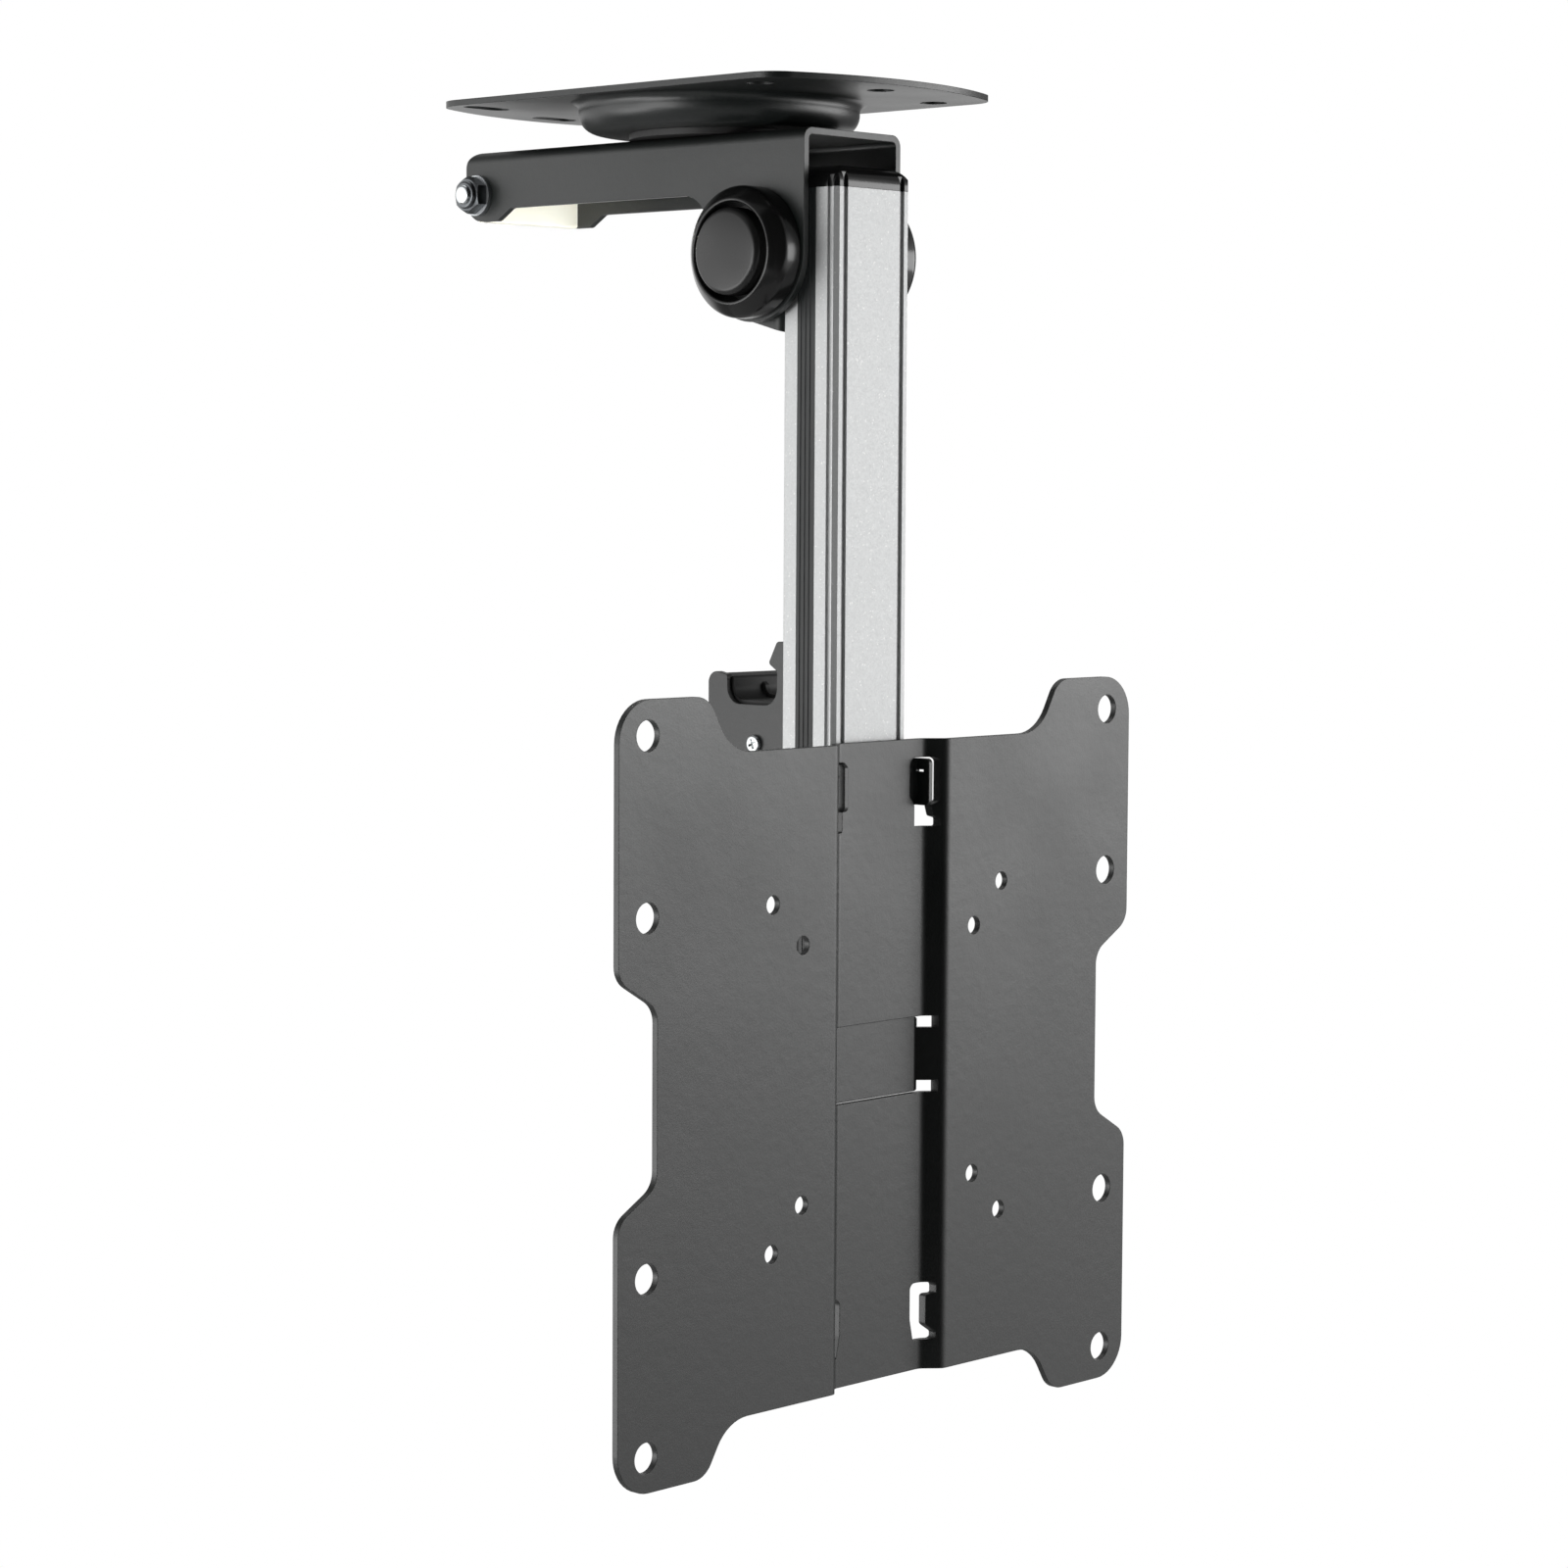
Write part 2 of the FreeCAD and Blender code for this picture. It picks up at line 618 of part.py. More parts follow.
def pole_grooves(low, high):
    """The cuts along the pole: two in its face and one at the front of each side."""
    cuts = []
    half = front_groove_width / 2
    for side in (-1, 1):
        mid = side * front_groove_x
        cuts.append(box(mid - half, mid + half, pole_front, pole_front + front_groove_depth,
                        low, high))
        edge, deep = side * pole_width / 2, side * (pole_width / 2 - side_groove_depth)
        start = pole_front + side_groove_from_front
        cuts.append(box(min(edge, deep), max(edge, deep), start, start + side_groove_width,
                        low, high))
    return cuts


def trim_channel(side, low, high):
    """Room for the trim strip in one side of the pole."""
    edge, deep = side * pole_width / 2, side * (pole_width / 2 - trim_t)
    start = pole_front + trim_from_front
    return box(min(edge, deep), max(edge, deep), start, start + trim_width, low, high)


def pole():
    """Hollow extrusion with grooves, a recess for the trim strips and a stiffening web."""
    body = slab(pole_outline(), "xy", pole_bottom, pole_top)
    room = slab(pole_bore(), "xy", pole_bottom, pole_top)
    body = body.cut(room)
    for cut in pole_grooves(pole_bottom, pole_top):
        body = body.cut(cut)
    for side in (-1, 1):
        body = body.cut(trim_channel(side, pole_bottom, pole_top))
    return body


def pole_bore(gap=0.0):
    """Hollow of the pole. It steps in beside the trim strips, so the wall stays whole."""
    hw = pole_width / 2 - pole_wall - gap
    step = hw - trim_t
    front, back = pole_front + pole_wall + gap, pole_back - pole_wall - gap
    near = pole_front + trim_from_front - pole_wall - gap
    corners = [(-hw, front), (hw, front), (hw, near), (step, near), (step, back), (-step, back),
               (-step, near), (-hw, near)]
    return [(x, y, pole_bore_r) for x, y in corners]


def pole_top_cap():
    """Moulded cap on the top of the pole, rolled over on all four sides."""
    hw = pole_width / 2
    far = pole_top + pole_cap_height
    cap = slab(pole_outline(), "xy", pole_top, far)
    across = slab([(-hw, pole_top, 0), (hw, pole_top, 0), (hw, far, pole_cap_side_r),
                   (-hw, far, pole_cap_side_r)], "xz", pole_front, pole_back)
    along = slab([(pole_front, pole_top, 0), (pole_back, pole_top, 0),
                  (pole_back, far, pole_cap_face_r), (pole_front, far, pole_cap_face_r)], "yz", -hw, hw)
    cap = cap.common(across).common(along)
    return grooved_and_plugged(cap, pole_top, 1, pole_cap_height)


def pole_foot_cap():
    """Flat moulded cap in the lower end of the pole."""
    far = pole_bottom - pole_foot_height
    cap = slab(pole_outline(), "xy", far, pole_bottom)
    rim = [e for e in cap.Edges if abs(e.BoundBox.ZMax - far) < 1e-6]
    cap = cap.makeFillet(pole_foot_edge_r, rim)
    return grooved_and_plugged(cap, pole_bottom, -1, pole_foot_height)


def grooved_and_plugged(cap, face, outward, height):
    """The cap with the pole's grooves run through it and a plug that fits the pole's bore."""
    far, inner = face + outward * height, face - outward * pole_plug_length
    for cut in pole_grooves(min(face, far), max(face, far)):
        cap = cap.cut(cut)
    plug = slab(pole_bore(pole_plug_gap), "xy", min(face, inner), max(face, inner))
    return cap.fuse(plug).removeSplitter()


def pole_trim(side):
    """Plastic strip that fills the side channel, with fine ribs along it."""
    strip = trim_channel(side, pole_bottom, pole_top)
    edge = side * pole_width / 2
    deep = edge - side * trim_rib_depth
    pitch = trim_width / (trim_rib_count + 1)
    start = pole_front + trim_from_front
    for i in range(1, trim_rib_count + 1):
        mid = start + i * pitch
        strip = strip.cut(box(min(edge, deep), max(edge, deep), mid - trim_rib_width / 2,
                              mid + trim_rib_width / 2, pole_bottom, pole_top))
    return strip


def hinge_bracket():
    """U bracket on the back of the pole. Its ears hang on the hinge bolt."""
    tip = hinge_y + bracket_behind_axis
    skin = [(-ear_out, tip, 0), (-ear_out, pole_back, bracket_bend_r),
            (ear_out, pole_back, bracket_bend_r), (ear_out, tip, 0)]
    top, heel = hinge_z + bracket_above_axis, hinge_z - bracket_heel_depth
    body = slab(sheet_section(skin, bracket_t, 1), "xy", heel, top)
    side = [(pole_back, top, 0), (tip, top, bracket_top_r),
            (tip, heel + bracket_slope, bracket_heel_r), (pole_back, heel, 0)]
    body = body.common(slab(side, "yz", -ear_out, ear_out))
    body = body.cut(rod(hinge_bolt_d + 2 * hinge_fit, V(-ear_out, hinge_y, hinge_z),
                        V(ear_out, hinge_y, hinge_z)))
    for spot in bracket_screw_spots():
        body = body.cut(rod(screw_d, V(spot.x, pole_back, spot.z), spot))
    return body


def bracket_screw_spots():
    """Seats of the four screws on the inner face of the hinge bracket."""
    return [V(x, pole_back + bracket_t, hinge_z - bracket_screw_drop + row * bracket_screw_pitch)
            for row in (-1, 0) for x in (-bracket_screw_x, bracket_screw_x)]


def hook_side():
    """Side view of the latch bracket: prong, open notch, and nose against the pole."""
    foot = notch_z - hook_foot_drop
    outer = pole_back + hook_reach
    inner = outer - prong_width
    near = pole_back + notch_start
    return [(pole_back, foot, 0), (pole_back + hook_foot_reach, foot, hook_foot_r),
            (outer, notch_z - hook_heel_drop, hook_heel_r), (outer, prong_z, prong_outer_r),
            (inner, prong_z - prong_slant, prong_inner_r), (inner, notch_z, notch_corner_r),
            (near, notch_z, notch_corner_r), (near, mouth_z, hook_mouth_r),
            (pole_back + hook_nose_reach, mouth_z + hook_nose_rise, hook_nose_r),
            (near, mouth_z + hook_top_rise, hook_top_r), (pole_back, mouth_z + hook_top_rise, 0)]


def latch_bracket():
    """Two stamped sides welded to a back strip, with a notch open towards the hinge."""
    half = hook_width / 2
    foot, top = notch_z - hook_foot_drop, mouth_z + hook_top_rise
    body = box(-half + hook_t, half - hook_t, pole_back, pole_back + hook_t, foot, top - hook_top_r)
    for edge in (-half, half - hook_t):
        body = body.fuse(slab(hook_side(), "yz", edge, edge + hook_t))
    body = body.removeSplitter()
    for side in (-1, 1):
        seat = cradle_screw_seat(side)
        body = body.cut(rod(cradle_screw_d, seat, seat - V(side * hook_t, 0, 0)))
    z = notch_z - hook_screw_drop
    for x in (-hook_screw_x, hook_screw_x):
        body = body.cut(rod(screw_d, V(x, pole_back, z), V(x, pole_back + hook_t, z)))
    return body


def cradle_screw_seat(side):
    return V(side * hook_width / 2, pole_back + cradle_screw_reach, notch_z - cradle_screw_drop)


def latch_cradle():
    """Moulded block between the bracket's sides. It lines the notch and has a middle rib."""
    half = hook_width / 2 - hook_t
    base = pole_back + hook_t
    near = base + cradle_wall
    outer = pole_back + hook_reach - cradle_inset
    inner = pole_back + hook_reach - prong_width + cradle_inset - cradle_wall
    top, floor, foot = prong_z - cradle_inset, notch_z + cradle_wall, notch_z - cradle_depth
    bend = notch_corner_r - cradle_wall
    body = slab([(base, foot, 0), (outer - cradle_foot_reach, foot, cradle_foot_r),
                 (outer, foot + cradle_foot_rise, cradle_heel_r), (outer, top, cradle_tip_r),
                 (inner, top - prong_slant, cradle_lip_r), (inner, floor, bend),
                 (near, floor, bend), (near, top - cradle_back_drop, 0),
                 (base, top - cradle_back_drop, 0)], "yz", -half, half)
    sink, high, low = cradle_rib_root, top - cradle_rib_drop, top - cradle_rib_drop - cradle_rib_lead
    rise = cradle_rib_height
    rib = slab([(near - sink, floor - sink, 0), (inner + sink, floor - sink, 0),
                (inner + sink, high, 0), (inner - rise, low, 0),
                (inner - rise, floor + rise, cradle_rib_r), (near + rise, floor + rise, cradle_rib_r),
                (near + rise, low, 0), (near - sink, high, 0)],
               "yz", -cradle_rib_t / 2, cradle_rib_t / 2)
    body = body.fuse(rib).removeSplitter()
    for side in (-1, 1):
        seat = cradle_screw_seat(side)
        body = body.cut(rod(cradle_screw_d, seat, seat - V(side * cradle_screw_length, 0, 0)))
    return body


def hanger_plate():
    """Flat bracket on the front of the pole. Two slit ears turn forward through the slots of
    the screen plate and carry it."""
    half, flat_half = hanger_width / 2, hanger_flat_width / 2
    front, back, tip = web_back, pole_front, web_back - hanger_ear_reach
    foot, top = screen_z + hanger_foot_above_screen, screen_z + hanger_above_screen
    ear_foot, ear_top = screen_z + hanger_ear_foot, screen_z + hanger_ear_top
    skin = [(-half, tip, 0), (-half, back, hanger_bend_r), (half, back, hanger_bend_r),
            (half, tip, 0)]
    body = slab(sheet_section(skin, hanger_t, -1), "xy", foot, top)
    r = hanger_corner_r
    flat = slab([(-flat_half, foot, r), (flat_half, foot, r), (flat_half, top, r),
                 (-flat_half, top, r)], "xz", front, back)
    ears = slab([(tip, ear_foot, hanger_ear_r), (back, ear_foot, 0), (back, ear_top, 0),
                 (tip, ear_top, hanger_ear_r)], "yz", -half, half)
    body = body.common(flat.fuse(ears))
    slit_y = tip + hanger_slit_from_tip
    slit_z = ear_top - hanger_slit_drop
    body = body.cut(box(-half, half, slit_y, slit_y + hanger_slit_length,
                        slit_z - hanger_slit_height / 2, slit_z + hanger_slit_height / 2))
    for z in hanger_screw_heights():
        body = body.cut(turned(countersunk(), V(0, front, z), V(0, 1, 0)))
    return body.removeSplitter()


def hanger_screw_heights():
    high = screen_z + hanger_screw_above_screen
    return [high, high - hanger_screw_pitch]


def countersunk():
    """Half section of a flat countersunk screw, its head flush with the start."""
    r, hr = screw_d / 2, screw_head_d / 2
    sink = hanger_t - screw_sink_edge
    return [(0, 0, 0), (hr, 0, 0), (r, sink, 0), (r, screw_length, 0), (0, screw_length, 0)]


def hat_section(offset, inner_r):
    """Bent section of the screen plate whose web lies offset behind the wings."""
    run = (fold_half_width - web_half_width) * offset / web_offset
    left, right = hat_middle_x - fold_half_width, hat_middle_x + fold_half_width
    half, deep = screen_half_width, wing_front + offset
    skin = [(-half, wing_front, 0), (left, wing_front, fold_r), (left + run, deep, inner_r),
            (right - run, deep, inner_r), (right, wing_front, fold_r), (half, wing_front, 0)]
    return sheet_section(skin, screen_t, 1)


def screen_outline():
    """Front view of the screen plate: four lobes, a waist at each side and a plain web edge."""
    lobe = [(lobe_inner_x, lobe_top, lobe_inner_r), (screen_half_width, lobe_top, lobe_corner_r),
            (screen_half_width, waist_high, waist_r), (waist_x, waist_low, waist_r)]
    right = [(web_top_x, web_top, web_top_r)] + lobe
    right += [(x, -z, r) for x, z, r in reversed(lobe)] + [(web_top_x, -web_foot, web_top_r)]
    return [(x, screen_z + z, r) for x, z, r in right + mirrored(right)]


def screen_plate():
    """Folded plate that the screen is bolted to, with a strap pressed back across its web."""
    front, deep = wing_front, web_back + strap_offset
    left, right = hat_middle_x - slot_outer_x, hat_middle_x + slot_outer_x
    plate = slab(hat_section(web_offset, web_fold_r), "xy", screen_z - lobe_top, screen_z + lobe_top)
    plate = plate.common(slab(screen_outline(), "xz", front, deep))
    plate = plate.cut(box(left, right, front, deep,
                          screen_z - window_half_height, screen_z + window_half_height))
    low, high = screen_z - strap_half_height, screen_z + strap_half_height
    strap = slab(hat_section(web_offset + strap_offset, strap_fold_r), "xy", low, high)
    near, far, r = hat_middle_x - strap_face_half_width, hat_middle_x + strap_face_half_width, strap_r
    body = slab([(near, low, r), (far, low, r), (far, high, r), (near, high, r)], "xz", front, deep)
    arms = box(left, right, front, deep,
               screen_z - strap_neck_half_height, screen_z + strap_neck_half_height)
    plate = plate.fuse(strap.common(body.fuse(arms))).removeSplitter()
    for outline in slot_outlines():
        plate = plate.cut(slab(outline, "xz", front, deep))
    for x, z, d in screen_holes():
        plate = plate.cut(rod(d, V(x, front, screen_z + z), V(x, front + screen_t, screen_z + z)))
    return plate


def slot_outlines():
    """The four slots. Their corners on the slanted walls move with the folds."""
    right, left = [], []
    for corners in (upper_slot, lower_slot):
        moved = [(x, hat_middle_x if x > web_half_width else 0, screen_z + z, r)
                 for x, z, r in corners]
        right.append([(x + shift, z, r) for x, shift, z, r in moved])
        left.append([(shift - x, z, r) for x, shift, z, r in reversed(moved)])
    return right + left


def screen_holes():
    """Every hole of the wings, as place and diameter."""
    holes = []
    for sx in (-1, 1):
        for sz in (-1, 1):
            holes.append((sx * vesa_large, sz * vesa_large, large_hole_d))
            holes.append((sx * vesa_large, sz * vesa_half, large_hole_d))
            holes.append((sx * vesa_half, sz * vesa_half, small_hole_d))
            holes.append((sx * vesa_small, sz * vesa_small, small_hole_d))
    return holes


def screws():
    """The screws of each bracket, one group to a bracket."""
    hinge = [pan_screw(screw_d, screw_head_d, screw_head_t, screw_length, spot, V(0, -1, 0))
             for spot in bracket_screw_spots()]
    hook_z = notch_z - hook_screw_drop
    hook = [pan_screw(screw_d, screw_head_d, screw_head_t, screw_length,
                      V(x, pole_back + hook_t, hook_z), V(0, -1, 0))
            for x in (-hook_screw_x, hook_screw_x)]
    cradle = [pan_screw(cradle_screw_d, cradle_screw_head_d, cradle_screw_head_t,
                        cradle_screw_length, cradle_screw_seat(side), V(-side, 0, 0))
              for side in (-1, 1)]
    hanger = [turned(countersunk(), V(0, web_back, z), V(0, 1, 0))
              for z in hanger_screw_heights()]
    return {"hinge_bracket_screws": Part.makeCompound(hinge),
            "latch_bracket_screws": Part.makeCompound(hook),
            "latch_cradle_screws": Part.makeCompound(cradle),
            "hanger_screws": Part.makeCompound(hanger)}


def pole_with_holes(fasteners):
    """The pole, drilled for every screw that bites into it."""
    body = pole()
    for group in ("hinge_bracket_screws", "latch_bracket_screws", "hanger_screws"):
        body = body.cut(fasteners[group])
    return body


def build():
    """Every piece of the mount by its name."""
    fasteners = screws()
    parts = {"ceiling_plate": ceiling_plate(), "arm_channel": arm_channel()}
    parts.update(swivel_parts())
    parts.update(latch_parts())
    parts.update(hinge_parts())
    parts["pole"] = pole_with_holes(fasteners)
    parts["pole_top_cap"] = pole_top_cap()
    parts["pole_foot_cap"] = pole_foot_cap()
    parts["pole_trim_left"] = pole_trim(-1)
    parts["pole_trim_right"] = pole_trim(1)
    parts["hinge_bracket"] = hinge_bracket()
    inner = ear_out - bracket_t
    parts["hinge_spacer"] = ring(hinge_spacer_d, hinge_bolt_d + 2 * hinge_fit,
                                 V(-inner, hinge_y, hinge_z), V(inner, hinge_y, hinge_z))
    parts["latch_bracket"] = latch_bracket()
    parts["latch_cradle"] = latch_cradle()
    parts["hanger_plate"] = hanger_plate()
    parts["screen_plate"] = screen_plate()
    parts.update(fasteners)
    return parts


os.makedirs("parts", exist_ok=True)
for name, shape in build().items():
    print(name, "valid" if shape.isValid() else "NOT VALID", len(shape.Solids), "solids",
          round(shape.Volume / 1000, 2), "cm3")
    shape.exportStep("parts/" + name + ".step")
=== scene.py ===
import math
import bpy
from mathutils import Matrix, Vector


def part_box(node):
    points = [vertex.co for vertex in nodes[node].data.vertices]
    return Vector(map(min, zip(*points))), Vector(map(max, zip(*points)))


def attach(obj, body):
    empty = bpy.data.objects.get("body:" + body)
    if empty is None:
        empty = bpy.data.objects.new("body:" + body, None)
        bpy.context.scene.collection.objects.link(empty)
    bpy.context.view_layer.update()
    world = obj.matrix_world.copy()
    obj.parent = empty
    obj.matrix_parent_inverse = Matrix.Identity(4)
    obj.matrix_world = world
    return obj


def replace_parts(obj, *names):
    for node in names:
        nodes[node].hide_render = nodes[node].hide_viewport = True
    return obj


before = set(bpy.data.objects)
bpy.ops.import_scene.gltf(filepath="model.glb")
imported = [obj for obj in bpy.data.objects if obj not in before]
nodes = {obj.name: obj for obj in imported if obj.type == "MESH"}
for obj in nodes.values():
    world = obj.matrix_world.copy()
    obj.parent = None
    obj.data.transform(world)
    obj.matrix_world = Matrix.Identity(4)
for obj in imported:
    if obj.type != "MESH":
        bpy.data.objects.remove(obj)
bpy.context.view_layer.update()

bpy.ops.object.select_all(action="DESELECT")

# The camera stands where the photograph was taken: to the left of the mount, in front of the
# screen plate and a little above its middle, looking four degrees down through a long lens.
camera_place = (-0.84776, -0.82522, -0.11689)
camera_turn = [math.radians(angle) for angle in (85.688, -0.319, -46.742)]
bpy.ops.object.camera_add(location=camera_place, rotation=camera_turn)
camera = bpy.context.object
camera.data.lens = 89.603
camera.data.sensor_width = 36.0
camera.data.clip_start = 0.01
bpy.context.scene.camera = camera
bpy.context.scene.view_settings.view_transform = "Standard"


# The room: a white studio with black cloths hung in front, on the far right, above and below, so
# that faces which mirror those sides stay near black. The camera sees plain white all round, and
# glossy pieces see it wherever no cloth hangs.
def colour(hex_code):
    """Linear colour of an sRGB hex value."""
    out = []
    for i in (1, 3, 5):
        c = int(hex_code[i:i + 2], 16) / 255
        out.append(c / 12.92 if c <= 0.04045 else ((c + 0.055) / 1.055) ** 2.4)
    return (*out, 1.0)


def add(tree, kind, inputs=None, **settings):
    """Adds a shader node with its settings. An input is a value, or another node's socket."""
    node = tree.nodes.new("ShaderNode" + kind)
    for key, value in settings.items():
        setattr(node, key, value)
    for socket, value in (inputs or {}).items():
        if isinstance(value, bpy.types.NodeSocket):
            tree.links.new(value, node.inputs[socket])
        else:
            node.inputs[socket].default_value = value
    return node


front_way = (-0.588, -0.809, 0.35)
right_way = (0.996, 0.087, 0.0)
bare_wall = (0.9, 0.9, 0.9, 1.0)
cloth_black = (0.004, 0.004, 0.004, 1.0)
plain_white = (1.0, 1.0, 1.0, 1.0)
room = bpy.data.worlds.new("white_studio")
bpy.context.scene.world = room
room.use_nodes = True
tree = room.node_tree
tree.nodes.clear()
direction = add(tree, "TexCoord").outputs["Generated"]
to_front = add(tree, "VectorMath", {0: direction, 1: front_way}, operation="DOT_PRODUCT")
to_right = add(tree, "VectorMath", {0: direction, 1: right_way}, operation="DOT_PRODUCT")
height = add(tree, "SeparateXYZ", {"Vector": direction}).outputs["Z"]

# Each cloth: what is measured to find it, where its soft edge starts and ends, and how dense it is.
cloth = 0.0
for measure, edge_start, edge_end, density in (
        (to_front.outputs["Value"], 0.55, 0.76, 1.0),
        (to_right.outputs["Value"], 0.84, 0.93, 0.9),
        (height, 0.12, 0.5, 0.85),
        (height, -0.25, -0.5, 0.9)):
    hung = add(tree, "MapRange", {"Value": measure, "From Min": edge_start, "From Max": edge_end,
                                  "To Max": density}, interpolation_type="SMOOTHSTEP")
    cloth = add(tree, "Math", {0: cloth, 1: hung.outputs["Result"]}, operation="MAXIMUM").outputs[0]
walls = add(tree, "Mix", {"Factor": cloth, 6: bare_wall, 7: cloth_black}, data_type="RGBA")
path = add(tree, "LightPath")
seen = add(tree, "Math", {0: path.outputs["Is Camera Ray"], 1: path.outputs["Is Transmission Ray"]},
           operation="MAXIMUM")
open_side = add(tree, "Math", {0: 1.0, 1: cloth}, operation="SUBTRACT")
mirrored = add(tree, "Math", {0: path.outputs["Is Glossy Ray"], 1: open_side.outputs[0]},
               operation="MULTIPLY")
white = add(tree, "Math", {0: seen.outputs[0], 1: mirrored.outputs[0]}, operation="MAXIMUM")
shown = add(tree, "Mix", {"Factor": white.outputs[0], 6: walls.outputs[2], 7: plain_white},
            data_type="RGBA")
background = add(tree, "Background", {"Color": shown.outputs[2], "Strength": 1.0})
add(tree, "OutputWorld", {"Surface": background.outputs[0]})

# Soft boxes: a wide one on the right, level with the mount, so that the wings mirror less of it
# towards their foot; three on the left and behind for the arm, the covers and the side of the
# pole; a small one with a grid, low in front, that lights only the nylon pad; and one above.

# Each has its place, the point it is aimed at, its size in metres, watts and spread in degrees.
for name, place, target, size, power, spread in (
        ("soft_box_right", (1.70, -1.40, -0.04), (0.0, 0.0, -0.2), (2.0, 0.8), 21.5, 180),
        ("soft_box_back_left", (-1.46, 1.36, -0.1), (0.0, 0.0, -0.2), (1.8, 1.0), 3.5, 180),
        ("soft_box_left", (-1.9, 0.17, -0.3), (0.0, 0.0, -0.2), (1.0, 0.9), 9.0, 180),
        ("soft_box_left_low", (-1.1, 0.75, -0.6), (0.0, 0.0, -0.1), (0.8, 0.5), 4.0, 180),
        ("grid_box_front", (-0.42, -0.32, -0.28), (0.0, 0.075, -0.03), (0.2, 0.2), 0.17, 20),
        ("soft_box_above", (0.3, 0.7, 1.5), (0.0, 0.0, 0.0), (1.2, 1.2), 5.0, 180)):
    bpy.ops.object.light_add(type="AREA", location=place)
    lamp = bpy.context.object
    lamp.name = name
    lamp.data.shape = "RECTANGLE"
    lamp.data.size, lamp.data.size_y = size
    lamp.data.energy = power
    lamp.data.spread = math.radians(spread)
    lamp.rotation_euler = (lamp.location - Vector(target)).to_track_quat("Z", "Y").to_euler()
    lamp.visible_camera = False
    lamp.visible_glossy = name != "grid_box_front"

# The floor is plain white paper, well below the hanging mount. It keeps the mount's shadow, and
# for the camera it is lifted to the white of the room.
floor_width = 1.4
floor_height = -0.75
bpy.ops.mesh.primitive_plane_add(size=floor_width, location=(0.0, 0.0, floor_height))
floor = bpy.context.object
floor.name = "floor"
paper = bpy.data.materials.new("white_paper")
paper.use_nodes = True
tree = paper.node_tree
tree.nodes.clear()
path = add(tree, "LightPath")
seen = add(tree, "Math", {0: path.outputs["Is Camera Ray"], 1: path.outputs["Is Transmission Ray"]},
           operation="MAXIMUM")
sheet = add(tree, "BsdfDiffuse", {"Color": colour("#efefef")})
lift = add(tree, "Emission", {"Color": plain_white, "Strength": seen.outputs[0]})
both = add(tree, "AddShader", {0: sheet.outputs[0], 1: lift.outputs[0]})
add(tree, "OutputMaterial", {"Surface": both.outputs[0]})
floor.data.materials.append(paper)


# Ceiling plate: 1.8 mm steel, pressed with a round dish, then powder coated in fine-textured
# black and stoved. Its coat has flowed out smoother than the coat of the folded pieces, so the
# lamps show in it as slightly tighter patches.
def powder_coat(name, tone, shine):
    """Stoved polyester powder: near black, with a pebbled grain that breaks up every highlight, a
    slow orange peel under it, and a gloss that drifts across a hand's width. The real grain is
    about 0.2 mm and is drawn coarser, because it wouldn't show."""
    grain_mm = 0.55
    grain_depth = 0.00006
    peel_mm = 3.5
    peel_depth = 0.00014
    drift_mm = 45
    soft_edge = 0.0004
    mat = bpy.data.materials.new(name)
    mat.use_nodes = True
    tree = mat.node_tree
    tree.nodes.clear()
    spot = add(tree, "TexCoord").outputs["Object"]
    grain = add(tree, "TexNoise", {"Vector": spot, "Scale": 1000 / grain_mm, "Detail": 2.0,
                                   "Roughness": 0.6})
    peel = add(tree, "TexNoise", {"Vector": spot, "Scale": 1000 / peel_mm, "Detail": 1.0})
    drift = add(tree, "TexNoise", {"Vector": spot, "Scale": 1000 / drift_mm, "Detail": 2.0})
    mottle = add(tree, "MapRange", {"Value": grain.outputs["Fac"], "From Min": 0.3,
                                    "From Max": 0.7})
    base = add(tree, "Mix", {"Factor": mottle.outputs["Result"], 6: colour(tone[0]),
                             7: colour(tone[1])}, data_type="RGBA")
    gloss = add(tree, "MapRange", {"Value": drift.outputs["Fac"], "From Min": 0.3, "From Max": 0.7,
                                   "To Min": shine - 0.03, "To Max": shine + 0.04})
    rounded = add(tree, "Bevel", {"Radius": soft_edge}, samples=4)
    skin = add(tree, "Bump", {"Strength": 0.35, "Distance": peel_depth,
                              "Height": peel.outputs["Fac"], "Normal": rounded.outputs[0]})
    texture = add(tree, "Bump", {"Strength": 0.45, "Distance": grain_depth,
                                 "Height": grain.outputs["Fac"], "Normal": skin.outputs[0]})
    coat = add(tree, "BsdfPrincipled", {"Base Color": base.outputs[2], "IOR": 1.6,
                                        "Roughness": gloss.outputs["Result"],
                                        "Normal": texture.outputs[0]})
    add(tree, "OutputMaterial", {"Surface": coat.outputs[0]})
    return mat


def dress(names, material):
    """Gives CAD nodes their finish."""
    for name in names:
        nodes[name].data.materials.clear()
        nodes[name].data.materials.append(material)


glossier_coat = powder_coat("glossier_black_coat", ("#0a0d0c", "#121414"), shine=0.36)
dress(["ceiling_plate"], glossier_coat)


